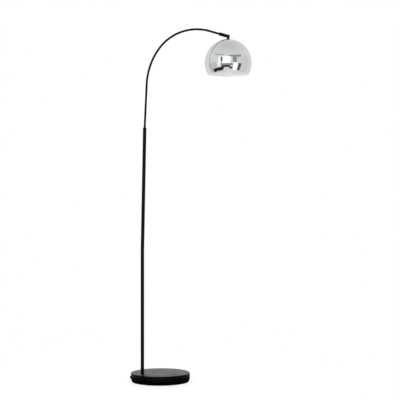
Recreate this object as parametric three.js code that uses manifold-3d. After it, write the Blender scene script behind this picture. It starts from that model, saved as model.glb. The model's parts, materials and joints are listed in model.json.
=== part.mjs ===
// Arc floor lamp: a weighted disc base, a two-piece pole, a bent arm and a ball shade on a knuckle.
// Millimetres, +Z up. The origin is the base's centre on the floor, and +X points towards the shade.
import * as THREE from "three";
import { mergeVertices } from "three/addons/utils/BufferGeometryUtils.js";
import Module from "manifold-3d";

const DEGREE = Math.PI / 180;
const GAP = 0.3; // clearance between pieces that touch

// Driving dimensions.
const BASE = {
  radius: 125,
  top: 38.5,
  wall: 1.5,
  skirt: 17.6,
  edgeRadius: 119.3,
  edge: 0.8,
  roundOver: 2.5,
};
const FOOT = { radius: 7, height: 2, circle: 93, count: 6 };
const PLATE = { radius: 116.8, bottom: FOOT.height + GAP, thickness: 1.2, screwCircle: 60 };
const PLATE_SCREW = { shank: 1.9, head: 3.8, headHeight: 1.6, length: 12 };
const WEIGHT = { radius: 117, bottom: 4.2, top: BASE.top - BASE.wall - GAP };
const POCKET = { radius: 14, top: 24 }; // room for the stud nut in the underside of the weight
const GLAND = { height: 18, flange: 6, body: 4.4, inside: 14, bore: 2.8, proud: 4 };
const GLAND_NUT = { acrossFlats: 11, thickness: 2.8, setback: 1.9 };
const POLE = { x: -76.2, radius: 7.5, wall: 1, seam: 552, top: 1071.5, lean: 1.08 * DEGREE };
const THREAD = { radius: 4.9, bore: 3.1, clearance: 5.2 }; // M10 hollow stud, nipple and their nuts
const STUD_NUT = { acrossFlats: 15, thickness: 5 };
const STUD_WASHER = { radius: 12, thickness: 1.6 };
const ARM = { radius: 4.5, wall: 1, plug: 30, inSleeve: 28 };
const LEAD = { radius: 2.2, core: 0.8, head: 1.2, bottom: 13 };
const TERMINAL = { length: 20, width: 17, height: 9, x: POLE.x + 28.6, screwSpacing: 8.8 };
const GRUB_RADIUS = 1.5;
const SLEEVE = { radius: 7.25, beforePin: 39.7, beyondPin: 6.1 };
const FORK = { halfWidth: 4.3, depth: 8, roof: 5.4 };
const PIVOT_SCREW = { shank: 1.5, head: 2.7, headHeight: 1.1, seat: 5.3 };
const EAR = { inside: 1.6, outside: 3.3, radius: 5 };
const STEM = { collar: 7.2, collarTop: -8.9, collarBottom: -11.3, bottom: -26.6, bore: 1.6 };
const SHADE = { radius: 100, wall: 0.8, drop: 111.6, rim: 49.2, hole: 5.3 };
const SHADE_WASHER = { radius: 10.5, thickness: 0.8 };
const SHADE_NUT = { acrossFlats: 17, thickness: 3 };
const LAMPHOLDER = { top: -17.9, neck: 8, radius: 19.5, wall: 2, joint: -36.6, bottom: -70.6 };
const BULB = { radius: 22.5, length: 78, cap: 13.2 };

// The arm as legs of constant curvature, from the top of the pole to the start of the knuckle sleeve.
// Each heading is an angle from straight up, towards +X.
const ARM_FOOT_HEADING = 2.68 * DEGREE;
const ARM_MIDDLE_HEADING = 36.2 * DEGREE;
const ARM_END_HEADING = 105.95 * DEGREE;
const straightLeg = (length) => ({ length, turn: 0 });
const arcLeg = (radius, from, to) => ({ length: radius * (to - from), turn: to - from });
const ARM_LEGS = [
  { length: 24, turn: ARM_FOOT_HEADING - POLE.lean },
  straightLeg(164.5),
  arcLeg(277.9, ARM_FOOT_HEADING, ARM_MIDDLE_HEADING),
  arcLeg(197, ARM_MIDDLE_HEADING, ARM_END_HEADING),
  straightLeg(42.2),
];

// Materials.
const finish = (color, roughness, metalness) =>
  new THREE.MeshStandardMaterial({ color, roughness, metalness });
const blackPaint = finish(0x17171a, 0.45, 0.1);
const chrome = finish(0xd8dadd, 0.06, 1);
const cement = finish(0x8f8d88, 0.9, 0);
const steel = finish(0xa8aaad, 0.35, 1);
const brass = finish(0xc9a44c, 0.3, 1);
const rubber = finish(0x161616, 0.85, 0);
const blackPlastic = finish(0x202022, 0.5, 0);
const whitePlastic = finish(0xf2f1ec, 0.4, 0);
const opalPlastic = finish(0xf7f6f2, 0.3, 0);
const ceramic = finish(0xe9e6dc, 0.5, 0);
const cableSheath = finish(0x0f0f10, 0.6, 0);
const brownCore = finish(0x6b3a1e, 0.6, 0);
const blueCore = finish(0x1f4fa8, 0.6, 0);
const circuitBoard = finish(0xdfe3e0, 0.5, 0.1);

const wasm = await Module();
wasm.setup();

// A closed geometry as a solid that can be joined and cut.
function solidOf(geometry) {
  const bare = geometry.clone();
  bare.deleteAttribute("normal");
  bare.deleteAttribute("uv");
  const merged = mergeVertices(bare, 1e-4);
  return new wasm.Manifold(
    new wasm.Mesh({
      numProp: 3,
      vertProperties: merged.getAttribute("position").array,
      triVerts: new Uint32Array(merged.index.array),
    }),
  );
}

function geometryOf(solid) {
  const mesh = solid.getMesh();
  return new THREE.BufferGeometry()
    .setAttribute("position", new THREE.BufferAttribute(new Float32Array(mesh.vertProperties), 3))
    .setIndex(new THREE.BufferAttribute(new Uint32Array(mesh.triVerts), 1));
}

function cut(geometry, ...tools) {
  return geometryOf(tools.reduce((left, tool) => left.subtract(solidOf(tool)), solidOf(geometry)));
}

function join(geometry, ...others) {
  return geometryOf(others.reduce((sum, other) => sum.add(solidOf(other)), solidOf(geometry)));
}

// A solid of revolution about Z. Its outline of [radius, height] closes on itself, or on the axis.
function turned(outline, segments = 16) {
  const points = outline.map(([radius, height]) => new THREE.Vector2(radius, height));
  const closesOnAxis = points[0].x === 0 && points[points.length - 1].x === 0;
  if (!closesOnAxis) points.push(points[0].clone());
  if (THREE.ShapeUtils.area(points) < 0) points.reverse();
  return new THREE.LatheGeometry(points, segments).rotateX(Math.PI / 2);
}

const disc = (radius, bottom, top, segments) =>
  turned([[0, bottom], [radius, bottom], [radius, top], [0, top]], segments);

const ring = (radius, bore, bottom, top, segments) =>
  turned([[bore, bottom], [radius, bottom], [radius, top], [bore, top]], segments);

const box = (width, depth, height, x, y, z) =>
  new THREE.BoxGeometry(width, depth, height).translate(x, y, z);

// Points [radius, height] on a round arc about a centre on the profile plane, angles from straight up.
function roundArc(radius, centreHeight, from, to, steps, centreRadius = 0) {
  return Array.from({ length: steps + 1 }, (_, i) => {
    const angle = from + ((to - from) * i) / steps;
    return [centreRadius + radius * Math.sin(angle), centreHeight + radius * Math.cos(angle)];
  });
}

function hexNut(acrossFlats, bore, bottom, top) {
  const corner = acrossFlats / Math.sqrt(3);
  const shape = new THREE.Shape(
    Array.from({ length: 6 }, (_, i) => {
      const angle = (i * Math.PI) / 3;
      return new THREE.Vector2(corner * Math.cos(angle), corner * Math.sin(angle));
    }),
  );
  shape.holes.push(new THREE.Path().absarc(0, 0, bore, 0, 2 * Math.PI));
  return new THREE.ExtrudeGeometry(shape, {
    depth: top - bottom,
    bevelEnabled: false,
    curveSegments: 8,
  }).translate(0, 0, bottom);
}

// A screw with its head down and its shank up, and a round socket in the head.
function screw(shank, length, head, headHeight) {
  const socket = head * 0.45;
  const socketDepth = headHeight * 0.6;
  const outline = [
    [0, -headHeight + socketDepth],
    [socket, -headHeight + socketDepth],
    [socket, -headHeight],
    [head * 0.8, -headHeight],
    [head, -headHeight * 0.6],
    [head, 0],
    [shank, 0],
    [shank, length - 0.5],
    [shank - 0.5, length],
    [0, length],
  ];
  return turned(outline, 12);
}

// A grub screw standing up from 0, with a round socket in its upper end.
function grubScrew(radius, length) {
  const outline = [
    [0, 0],
    [radius - 0.4, 0],
    [radius, 0.4],
    [radius, length],
    [radius * 0.5, length],
    [radius * 0.5, length * 0.5],
    [0, length * 0.5],
  ];
  return turned(outline, 10);
}

// A path in a plane of constant Y, made of legs of constant curvature.
class LeggedPath extends THREE.Curve {
  constructor(start, heading, legs) {
    super();
    this.start = start;
    this.heading = heading;
    this.legs = legs;
    this.total = legs.reduce((sum, leg) => sum + leg.length, 0);
  }

  // Position and heading at a distance along the path.
  walk(distance) {
    const at = this.start.clone();
    let heading = this.heading;
    let left = distance;
    for (const leg of this.legs) {
      const run = Math.min(left, leg.length);
      const turn = (leg.turn * run) / leg.length;
      const chord = turn === 0 ? run : (2 * run * Math.sin(turn / 2)) / turn;
      at.x += chord * Math.sin(heading + turn / 2);
      at.z += chord * Math.cos(heading + turn / 2);
      heading += turn;
      left -= run;
    }
    return { at, heading };
  }

  getPoint(t, target = new THREE.Vector3()) {
    return target.copy(this.walk(t * this.total).at);
  }
}

// A round rod or tube along a path.
function swept(path, radius, bore, steps, sides) {
  const shape = new THREE.Shape().absarc(0, 0, radius, 0, 2 * Math.PI);
  if (bore > 0) shape.holes.push(new THREE.Path().absarc(0, 0, bore, 0, 2 * Math.PI));
  return new THREE.ExtrudeGeometry(shape, { steps, extrudePath: path, curveSegments: sides });
}

const lamp = new THREE.Group();

function piece(parent, name, geometry, material) {
  const mesh = new THREE.Mesh(geometry, material);
  mesh.name = name;
  parent.add(mesh);
  return mesh;
}

function group(parent, x, y, z) {
  const made = new THREE.Group();
  made.position.set(x, y, z);
  parent.add(made);
  return made;
}

// ---------------------------------------------------------------- base

// The cover is a pressed shell: flat top, rounded edge, upright side and a skirt that curls in below.
function baseCover() {
  const shoulder = (inset) =>
    roundArc(
      Math.max(BASE.roundOver - inset, 0.8),
      BASE.top - Math.max(BASE.roundOver, inset + 0.8),
      0,
      Math.PI / 2,
      3,
      BASE.radius - Math.max(BASE.roundOver, inset + 0.8),
    );
  const skirtDrop = BASE.skirt - BASE.edge;
  const skirtDraw = BASE.radius - BASE.edgeRadius;
  const skirt = (inset) =>
    [0, 0.35, 0.7, 1].map((t) => [BASE.radius - inset - skirtDraw * t * t, BASE.skirt - skirtDrop * t]);
  const outline = [
    [0, BASE.top],
    ...shoulder(0),
    ...skirt(0),
    ...skirt(BASE.wall).reverse(),
    ...shoulder(BASE.wall).reverse(),
    [0, BASE.top - BASE.wall],
  ];
  const studHole = disc(THREAD.clearance + 0.2, BASE.top - 5, BASE.top + 1).translate(POLE.x, 0, 0);
  const glandHole = disc(GLAND.body + 0.4, -6, 6)
    .rotateY(Math.PI / 2)
    .translate(-BASE.radius, 0, GLAND.height);
  return cut(turned(outline, 56), studHole, glandHole);
}

const plateScrewPlaces = [90, 210, 330].map((angle) => ({
  x: PLATE.screwCircle * Math.cos(angle * DEGREE),
  y: PLATE.screwCircle * Math.sin(angle * DEGREE),
}));

function baseWeight() {
  const outline = [
    [0, WEIGHT.bottom],
    [WEIGHT.radius - 4, WEIGHT.bottom],
    [WEIGHT.radius, WEIGHT.bottom + 5],
    [WEIGHT.radius, WEIGHT.top - 2],
    [WEIGHT.radius - 2, WEIGHT.top],
    [0, WEIGHT.top],
  ];
  const below = WEIGHT.bottom - 1;
  const pocket = disc(POCKET.radius, below, POCKET.top).translate(POLE.x, 0, 0);
  const studHole = disc(THREAD.clearance + 0.2, below, BASE.top).translate(POLE.x, 0, 0);
  const channelLength = WEIGHT.radius + POLE.x + 2;
  const channelHeight = GLAND.height + 8 - below;
  const channelX = POLE.x - channelLength / 2;
  const cordChannel = box(channelLength, 13, channelHeight, channelX, 0, below + channelHeight / 2);
  // The terminal pocket runs on to the stud pocket, so that the two cores can reach the block.
  const pocketLength = TERMINAL.length + 18;
  const pocketHeight = TERMINAL.height + 3;
  const pocketX = TERMINAL.x - 7;
  const pocketWidth = TERMINAL.width + 5;
  const pocketMiddle = below + pocketHeight / 2;
  const terminalPocket = box(pocketLength, pocketWidth, pocketHeight, pocketX, 0, pocketMiddle);
  const screwHoles = plateScrewPlaces.map(({ x, y }) =>
    disc(PLATE_SCREW.shank + GAP, below, PLATE_SCREW.length + 8).translate(x, y, 0),
  );
  return cut(turned(outline, 40), pocket, studHole, cordChannel, terminalPocket, ...screwHoles);
}

function basePlate() {
  const top = PLATE.bottom + PLATE.thickness;
  const screwHoles = plateScrewPlaces.map(({ x, y }) =>
    disc(PLATE_SCREW.shank + GAP, PLATE.bottom - 1, top + 1).translate(x, y, 0),
  );
  return cut(disc(PLATE.radius, PLATE.bottom, top, 40), ...screwHoles);
}

// The gland grips the cord where it enters the edge of the cover; its axis is X.
function cableGland() {
  const outline = [
    [GLAND.bore, -GLAND.inside],
    [GLAND.body, -GLAND.inside],
    [GLAND.body, GAP],
    [GLAND.flange, GAP],
    [GLAND.flange, GAP + 1.6],
    [GLAND.flange - 1.6, GLAND.proud],
    [GLAND.bore, GLAND.proud],
  ];
  return turned(outline).rotateY(-Math.PI / 2);
}

piece(lamp, "base_cover", baseCover(), blackPaint);
piece(lamp, "base_weight", baseWeight(), cement);
piece(lamp, "base_plate", basePlate(), blackPaint);
plateScrewPlaces.forEach(({ x, y }, i) => {
  const { shank, length, head: headRadius, headHeight } = PLATE_SCREW;
  const geometry = screw(shank, length, headRadius, headHeight);
  piece(lamp, `plate_screw_${i + 1}`, geometry, steel).position.set(x, y, PLATE.bottom - GAP);
});

const footPad = () =>
  turned(
    [
      [0, 0],
      [FOOT.radius - 1, 0],
      [FOOT.radius, 1],
      [FOOT.radius, FOOT.height],
      [0, FOOT.height],
    ],
    16,
  );
for (let i = 0; i < FOOT.count; i++) {
  const angle = (i * 2 * Math.PI) / FOOT.count;
  const foot = piece(lamp, `foot_${i + 1}`, footPad(), rubber);
  foot.position.set(FOOT.circle * Math.cos(angle), FOOT.circle * Math.sin(angle), 0);
}
piece(lamp, "centre_foot", footPad(), rubber);

const gland = group(lamp, -BASE.radius, 0, GLAND.height);
piece(gland, "cable_gland", cableGland(), blackPlastic);
const glandNutFace = BASE.wall + GLAND_NUT.setback; // clear of the cover's curved wall
const glandNut = hexNut(
  GLAND_NUT.acrossFlats,
  GLAND.body + GAP,
  glandNutFace,
  glandNutFace + GLAND_NUT.thickness,
);
piece(gland, "gland_nut", glandNut.rotateY(Math.PI / 2), blackPlastic);

// The lamp's lead is stripped under the stud, and its two cores run to a terminal block on the plate.
const coreBend = 4;
const coreOffset = 1.1;
const blockBottom = PLATE.bottom + PLATE.thickness + GAP;
const blockFace = TERMINAL.x - TERMINAL.length / 2;
const block = group(lamp, TERMINAL.x, 0, blockBottom + TERMINAL.height / 2);
const screwRow = [-TERMINAL.screwSpacing / 2, TERMINAL.screwSpacing / 2];
const blockBody = cut(
  box(TERMINAL.length, TERMINAL.width, TERMINAL.height, 0, 0, 0),
  ...screwRow.map((y) => disc(2, 0, TERMINAL.height).translate(0, y, 0)),
);
piece(block, "terminal_block", blockBody, whitePlastic);
screwRow.forEach((y, i) => {
  piece(block, `terminal_screw_${i + 1}`, grubScrew(1.6, 3.4), brass).position.set(0, y, 0.5);
});
for (const [name, y, sheath] of [
  ["core_live", -coreOffset, brownCore],
  ["core_neutral", coreOffset, blueCore],
]) {
  const path = new LeggedPath(new THREE.Vector3(POLE.x, y, LEAD.bottom - GAP), Math.PI, [
    straightLeg(0.9),
    { length: (coreBend * Math.PI) / 2, turn: -Math.PI / 2 },
    straightLeg(blockFace - GAP - POLE.x - coreBend),
  ]);
  piece(lamp, name, swept(path, LEAD.core, 0, 10, 4), sheath);
}

// ---------------------------------------------------------------- pole

const INSERT = { radius: POLE.radius - POLE.wall - GAP, length: 24 };
const JOINER_REACH = 20; // how far the nipple between the two halves goes into each
const tubeOf = (bottom, top) => ring(POLE.radius, POLE.radius - POLE.wall, bottom, top, 24);
const insertOf = (bottom) =>
  ring(INSERT.radius, THREAD.clearance, bottom, bottom + INSERT.length);

const pole = group(lamp, POLE.x, 0, 0);
const poleFoot = BASE.top + GAP;
const studWasherTop = POCKET.top - GAP;
const studNutTop = studWasherTop - STUD_WASHER.thickness - GAP;
const studNutBottom = studNutTop - STUD_NUT.thickness;
const studWasher = ring(
  STUD_WASHER.radius,
  THREAD.clearance,
  studWasherTop - STUD_WASHER.thickness,
  studWasherTop,
);
const studNut = hexNut(STUD_NUT.acrossFlats, THREAD.clearance, studNutBottom, studNutTop);
const baseStud = ring(THREAD.radius, THREAD.bore, LEAD.bottom + 3, poleFoot + INSERT.length - 2);
piece(pole, "base_stud", baseStud, steel);
piece(pole, "stud_nut", studNut, steel);
piece(pole, "stud_washer", studWasher, steel);
piece(pole, "pole_foot_insert", insertOf(poleFoot), steel);
piece(pole, "pole_lower_tube", tubeOf(poleFoot, POLE.seam - GAP), blackPaint);
piece(pole, "lower_top_insert", insertOf(POLE.seam - GAP - INSERT.length), steel);

// The upper half leans a little towards the shade; the nipple between the halves takes half of it.
const seam = group(pole, 0, 0, POLE.seam);
const joiner = ring(THREAD.radius - 0.2, THREAD.bore, -JOINER_REACH, JOINER_REACH);
piece(seam, "pole_joiner", joiner, steel).rotation.y = POLE.lean / 2;

const upperLength = (POLE.top - POLE.seam) / Math.cos(POLE.lean);
const upperPole = group(seam, 0, 0, 0);
upperPole.rotation.y = POLE.lean;
piece(upperPole, "upper_bottom_insert", insertOf(GAP), steel);

// A grub screw behind the top of the pole locks the arm in the collar; its axis is Y.
const collarScrewHeight = upperLength - 12;
const grubHole = disc(GRUB_RADIUS + GAP, ARM.radius, POLE.radius + 2, 16)
  .rotateX(-Math.PI / 2)
  .translate(0, 0, collarScrewHeight);
piece(upperPole, "pole_upper_tube", cut(tubeOf(GAP, upperLength), grubHole), blackPaint);
const collarOutline = [
  [ARM.radius + GAP, upperLength - ARM.plug - 1],
  [INSERT.radius, upperLength - ARM.plug - 1],
  [INSERT.radius, upperLength + GAP],
  [POLE.radius, upperLength + GAP],
  [POLE.radius, upperLength + 1.7],
  [ARM.radius + 1.1, upperLength + 4],
  [ARM.radius + GAP, upperLength + 4],
];
piece(upperPole, "pole_top_collar", cut(turned(collarOutline, 24), grubHole), blackPaint);
const collarGrub = grubScrew(GRUB_RADIUS, POLE.radius - ARM.radius - 2 * GAP).rotateX(-Math.PI / 2);
const placedCollarGrub = piece(upperPole, "collar_grub_screw", collarGrub, steel);
placedCollarGrub.position.set(0, ARM.radius + GAP, collarScrewHeight);

// ---------------------------------------------------------------- arm and lead

const poleTopX = POLE.x + (POLE.top - POLE.seam) * Math.tan(POLE.lean);
const armStart = new THREE.Vector3(
  poleTopX - ARM.plug * Math.sin(POLE.lean),
  0,
  POLE.top - ARM.plug * Math.cos(POLE.lean),
);
const armPath = new LeggedPath(armStart, POLE.lean, [
  straightLeg(ARM.plug),
  ...ARM_LEGS,
  straightLeg(ARM.inSleeve),
]);
piece(lamp, "arc_tube", swept(armPath, ARM.radius, ARM.radius - ARM.wall, 42, 6), blackPaint);

const sleeveStart = armPath.walk(armPath.total - ARM.inSleeve);
const leadBend = 15; // half the length over which the lead takes up the pole's lean
const leadPath = new LeggedPath(new THREE.Vector3(POLE.x, 0, LEAD.bottom), 0, [
  straightLeg(POLE.seam - LEAD.bottom - leadBend),
  { length: 2 * leadBend, turn: POLE.lean },
  straightLeg(upperLength - leadBend),
  ...ARM_LEGS,
  straightLeg(ARM.inSleeve + 2),
]);
piece(lamp, "lamp_lead", swept(leadPath, LEAD.radius, 0, 60, 4), cableSheath);

// ---------------------------------------------------------------- knuckle

// In this group Z runs along the sleeve towards the pivot at its origin, and +X is its underside.
const pivot = sleeveStart.at.clone();
pivot.x += SLEEVE.beforePin * Math.sin(sleeveStart.heading);
pivot.z += SLEEVE.beforePin * Math.cos(sleeveStart.heading);
const knuckle = group(lamp, pivot.x, 0, pivot.z);
knuckle.rotation.y = sleeveStart.heading;

// The far end is a fork, open below and at its tip, with a roof above the shade stem's ears.
function knuckleSleeve() {
  const outline = [
    [0, -SLEEVE.beforePin],
    [SLEEVE.radius - 1.4, -SLEEVE.beforePin],
    [SLEEVE.radius, -SLEEVE.beforePin + 1.4],
    [SLEEVE.radius, SLEEVE.beyondPin - 2],
    [SLEEVE.radius - 2, SLEEVE.beyondPin],
    [0, SLEEVE.beyondPin],
  ];
  const armBore = disc(ARM.radius + GAP, -SLEEVE.beforePin - 1, -SLEEVE.beforePin + ARM.inSleeve + 1);
  const leadBore = disc(LEAD.radius + 0.4, -SLEEVE.beforePin, 0);
  const slotLength = FORK.depth + SLEEVE.beyondPin + 1;
  const slotHeight = FORK.roof + SLEEVE.radius + 1;
  const slotX = slotHeight / 2 - FORK.roof;
  const slot = box(slotHeight, 2 * FORK.halfWidth, slotLength, slotX, 0, slotLength / 2 - FORK.depth);
  const across = (radius, from, to) => disc(radius, from, to, 16).rotateX(-Math.PI / 2);
  const pivotHole = across(PIVOT_SCREW.shank + GAP, -SLEEVE.radius - 1, SLEEVE.radius + 1);
  const boreRadius = PIVOT_SCREW.head + GAP;
  const leftBore = across(boreRadius, PIVOT_SCREW.seat, SLEEVE.radius + 1);
  const rightBore = across(boreRadius, -SLEEVE.radius - 1, -PIVOT_SCREW.seat);
  const grubHoleBelow = disc(GRUB_RADIUS + GAP, 0, SLEEVE.radius + 1, 16)
    .rotateY(Math.PI / 2)
    .translate(0, 0, -SLEEVE.beforePin + ARM.inSleeve / 2);
  const holes = [armBore, leadBore, pivotHole, leftBore, rightBore, grubHoleBelow];
  return cut(turned(outline, 24), slot, ...holes);
}

piece(knuckle, "knuckle_sleeve", knuckleSleeve(), blackPaint);
const sleeveGrub = grubScrew(GRUB_RADIUS, SLEEVE.radius - ARM.radius - 2 * GAP).rotateY(Math.PI / 2);
piece(knuckle, "sleeve_grub_screw", sleeveGrub, steel).position.set(
  ARM.radius + GAP,
  0,
  -SLEEVE.beforePin + ARM.inSleeve / 2,
);
for (const [name, side] of [["left", 1], ["right", -1]]) {
  const turn = (side * -Math.PI) / 2;
  const screwLength = PIVOT_SCREW.seat - EAR.inside - GAP;
  const pivotScrew = screw(PIVOT_SCREW.shank, screwLength, PIVOT_SCREW.head, PIVOT_SCREW.headHeight);
  const placed = piece(knuckle, `knuckle_screw_${name}`, pivotScrew, blackPaint);
  placed.rotation.x = -turn;
  placed.position.y = side * (PIVOT_SCREW.seat + GAP);
  const washer = ring(4, PIVOT_SCREW.shank + GAP, EAR.outside + GAP, FORK.halfWidth - GAP, 20);
  piece(knuckle, `friction_washer_${name}`, washer, rubber).rotation.x = turn;
}

// ---------------------------------------------------------------- head

// The head hangs straight down from the pivot at the origin of this group.
const head = group(lamp, pivot.x, 0, pivot.z);
const domeCentre = -SHADE.drop;

function shadeStem() {
  const outline = [
    [0, STEM.bottom],
    [THREAD.radius, STEM.bottom],
    [THREAD.radius, STEM.collarBottom],
    [STEM.collar, STEM.collarBottom],
    [STEM.collar, STEM.collarTop - 0.6],
    [STEM.collar - 0.6, STEM.collarTop],
    [0, STEM.collarTop],
  ];
  const earShape = new THREE.Shape()
    .moveTo(-EAR.radius, STEM.collarTop - 1)
    .lineTo(EAR.radius, STEM.collarTop - 1)
    .lineTo(EAR.radius, 0)
    .absarc(0, 0, EAR.radius, 0, Math.PI)
    .lineTo(-EAR.radius, STEM.collarTop - 1);
  earShape.holes.push(new THREE.Path().absarc(0, 0, PIVOT_SCREW.shank + GAP, 0, 2 * Math.PI));
  const earThickness = EAR.outside - EAR.inside;
  const ear = (y) =>
    new THREE.ExtrudeGeometry(earShape, { depth: earThickness, bevelEnabled: false, curveSegments: 8 })
      .rotateX(Math.PI / 2)
      .translate(0, y, 0);
  const whole = join(turned(outline), ear(-EAR.inside), ear(EAR.outside));
  return cut(whole, disc(STEM.bore, STEM.bottom - 1, 0, 12));
}

function ballShade() {
  const from = Math.asin(SHADE.hole / SHADE.radius);
  const to = Math.acos(-SHADE.rim / SHADE.radius);
  const steps = 16;
  const outside = roundArc(SHADE.radius, domeCentre, from, to, steps);
  const inside = roundArc(SHADE.radius - SHADE.wall, domeCentre, from, to, steps);
  return turned([...outside, ...inside.reverse()], 56);
}

function lampholderCap() {
  const { top, neck, radius, wall, joint } = LAMPHOLDER;
  return turned([
    [THREAD.clearance, top],
    [neck, top],
    [neck + 2, top - 4],
    [radius - 2, top - 8],
    [radius, top - 11],
    [radius, joint],
    [radius - wall, joint],
    [radius - wall, top - 12],
    [neck + 1, top - 6.5],
    [THREAD.clearance, top - 6.5],
  ], 24);
}

piece(head, "shade_stem", shadeStem(), blackPaint);
piece(head, "shade", ballShade(), chrome);
const washerTop = domeCentre + SHADE.radius - SHADE.wall - 1.1; // its rim meets the ball's inside
const washerBottom = washerTop - SHADE_WASHER.thickness;
const nutTop = washerBottom - GAP;
const nutBottom = nutTop - SHADE_NUT.thickness;
const shadeWasher = ring(SHADE_WASHER.radius, THREAD.clearance, washerBottom, washerTop);
const shadeNut = hexNut(SHADE_NUT.acrossFlats, THREAD.clearance, nutBottom, nutTop);
piece(head, "shade_washer", shadeWasher, steel);
piece(head, "shade_nut", shadeNut, steel);

piece(head, "lampholder_cap", lampholderCap(), blackPlastic);
const holderInside = LAMPHOLDER.radius - LAMPHOLDER.wall;
const holderBody = ring(LAMPHOLDER.radius, holderInside, LAMPHOLDER.bottom, LAMPHOLDER.joint - GAP, 24);
piece(head, "lampholder_body", holderBody, blackPlastic);
const insertTop = LAMPHOLDER.joint - 6;
const insertBottom = insertTop - 7;
piece(head, "lampholder_insert", disc(holderInside - GAP, insertBottom, insertTop), ceramic);
piece(head, "contact_centre", box(9, 4, 1, 0, 0, insertBottom - GAP - 0.5), brass);
piece(head, "contact_side", box(3, 4, 2.5, 11.5, 0, insertBottom - GAP - 1.25), brass);
const shellTop = insertBottom - 3.2;
piece(head, "screw_shell", ring(BULB.cap + 1.3, BULB.cap + 0.6, LAMPHOLDER.bottom + 2, shellTop), brass);
const headLead = disc(LEAD.head, insertTop + GAP, -3.2, 8);
piece(head, "head_lead", headLead, cableSheath);

// The lamp is a small ball bulb with light-emitting diodes on a board under an opal globe.
const bulbTop = insertBottom - 2 * GAP - 1.1;
const bulb = group(head, 0, 0, bulbTop);
const globeCentre = BULB.radius - BULB.length;
const globeEdge = 1.2; // angle from straight up at which the globe meets its housing, in radians
const globeEdgeRadius = BULB.radius * Math.sin(globeEdge);
const globeEdgeHeight = globeCentre + BULB.radius * Math.cos(globeEdge);
const capBottom = -22;

const bulbCap = turned([
  [0, 0],
  [3.5, 0],
  [4.5, -1.5],
  [BULB.cap - 3, -3.5],
  [BULB.cap, -5],
  [BULB.cap, capBottom],
  [0, capBottom],
]);
const bulbHousing = turned([
  [0, capBottom - GAP],
  [BULB.cap + 0.8, capBottom - GAP],
  [BULB.cap + 2.5, capBottom - 8],
  [globeEdgeRadius, globeEdgeHeight + GAP],
  [globeEdgeRadius - 1.5, globeEdgeHeight + GAP],
  [globeEdgeRadius - 2.2, globeEdgeHeight + 4],
  [0, globeEdgeHeight + 4],
], 20);
const outsideGlobe = roundArc(BULB.radius, globeCentre, globeEdge, Math.PI, 7);
const insideGlobe = roundArc(BULB.radius - 1, globeCentre, globeEdge, Math.PI, 7);
piece(bulb, "bulb_cap", bulbCap, steel);
piece(bulb, "bulb_housing", bulbHousing, whitePlastic);
const globe = turned([...outsideGlobe, ...insideGlobe.reverse()], 20);
const board = disc(globeEdgeRadius - 3, globeEdgeHeight + 2.4, globeEdgeHeight + 3.7);
piece(bulb, "bulb_globe", globe, opalPlastic);
piece(bulb, "led_board", board, circuitBoard);

export default lamp;
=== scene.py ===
"""Arc floor lamp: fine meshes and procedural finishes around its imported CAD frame, in a white studio.

Shapes are written in millimetres, in the frame's own axes (+Z up, +X from the base towards the shade),
and become metres when a mesh is made.
"""

import json
from math import acos, atan, cos, pi, radians, sin, sqrt

import bmesh
import bpy
from mathutils import Matrix, Vector


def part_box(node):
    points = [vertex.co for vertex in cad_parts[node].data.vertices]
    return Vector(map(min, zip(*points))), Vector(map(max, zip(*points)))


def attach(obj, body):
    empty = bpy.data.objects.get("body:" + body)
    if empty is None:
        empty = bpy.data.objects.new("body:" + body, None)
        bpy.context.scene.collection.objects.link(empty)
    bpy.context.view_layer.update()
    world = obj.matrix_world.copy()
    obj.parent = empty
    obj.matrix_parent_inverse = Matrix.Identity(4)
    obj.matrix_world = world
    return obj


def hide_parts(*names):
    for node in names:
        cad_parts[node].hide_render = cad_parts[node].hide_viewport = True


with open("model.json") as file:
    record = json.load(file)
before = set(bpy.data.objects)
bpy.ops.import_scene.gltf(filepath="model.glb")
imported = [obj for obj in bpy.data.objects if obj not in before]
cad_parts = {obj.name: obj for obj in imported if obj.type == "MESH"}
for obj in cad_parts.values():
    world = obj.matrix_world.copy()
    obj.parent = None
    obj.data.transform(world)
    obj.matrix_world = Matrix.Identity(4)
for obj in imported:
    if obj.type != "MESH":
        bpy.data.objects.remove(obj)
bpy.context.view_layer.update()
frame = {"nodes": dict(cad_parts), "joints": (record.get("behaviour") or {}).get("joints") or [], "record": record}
scene = bpy.context.scene

MM = 0.001
FINE = 0.1  # the clearance that fine meshes leave
WELD = 2e-6  # metres between vertices that are one and the same

# ---------------------------------------------------------------- mesh helpers


def box_mm(node):
    """(lowest corner, highest corner) of a CAD node in millimetres."""
    low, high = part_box(node)
    return low / MM, high / MM


def turn_y(angle):
    return Matrix.Rotation(angle, 4, "Y")


def at(x, y, z, turn=None):
    """A placement in millimetres: a turn about the piece's own origin, then a move."""
    move = Matrix.Translation((x, y, z))
    return move @ turn if turn else move


def new_object(name, vertices, faces, place=None, sharp=38):
    """A mesh object from millimetre vertices, faces out, smooth but for edges over the sharp angle."""
    mesh = bpy.data.meshes.new(name)
    mesh.from_pydata(vertices, [], faces)
    if place is not None:
        mesh.transform(place)
    mesh.transform(Matrix.Scale(MM, 4))
    made = bpy.data.objects.new(name, mesh)
    scene.collection.objects.link(made)
    tidy(made, sharp)
    return made


def weld(obj):
    """Merges the doubled vertices that a cut leaves along its seams, so that the solid stays closed."""
    work = bmesh.new()
    work.from_mesh(obj.data)
    bmesh.ops.remove_doubles(work, verts=work.verts, dist=WELD)
    bmesh.ops.dissolve_degenerate(work, edges=work.edges, dist=WELD)
    bmesh.ops.recalc_face_normals(work, faces=work.faces)
    work.to_mesh(obj.data)
    work.free()


def tidy(obj, sharp=38):
    weld(obj)
    obj.data.shade_smooth()
    obj.data.set_sharp_from_angle(angle=radians(sharp))


def move(obj, place):
    """Puts a finished mesh in its place."""
    obj.data.transform(Matrix.Scale(MM, 4) @ place @ Matrix.Scale(1 / MM, 4))


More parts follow.
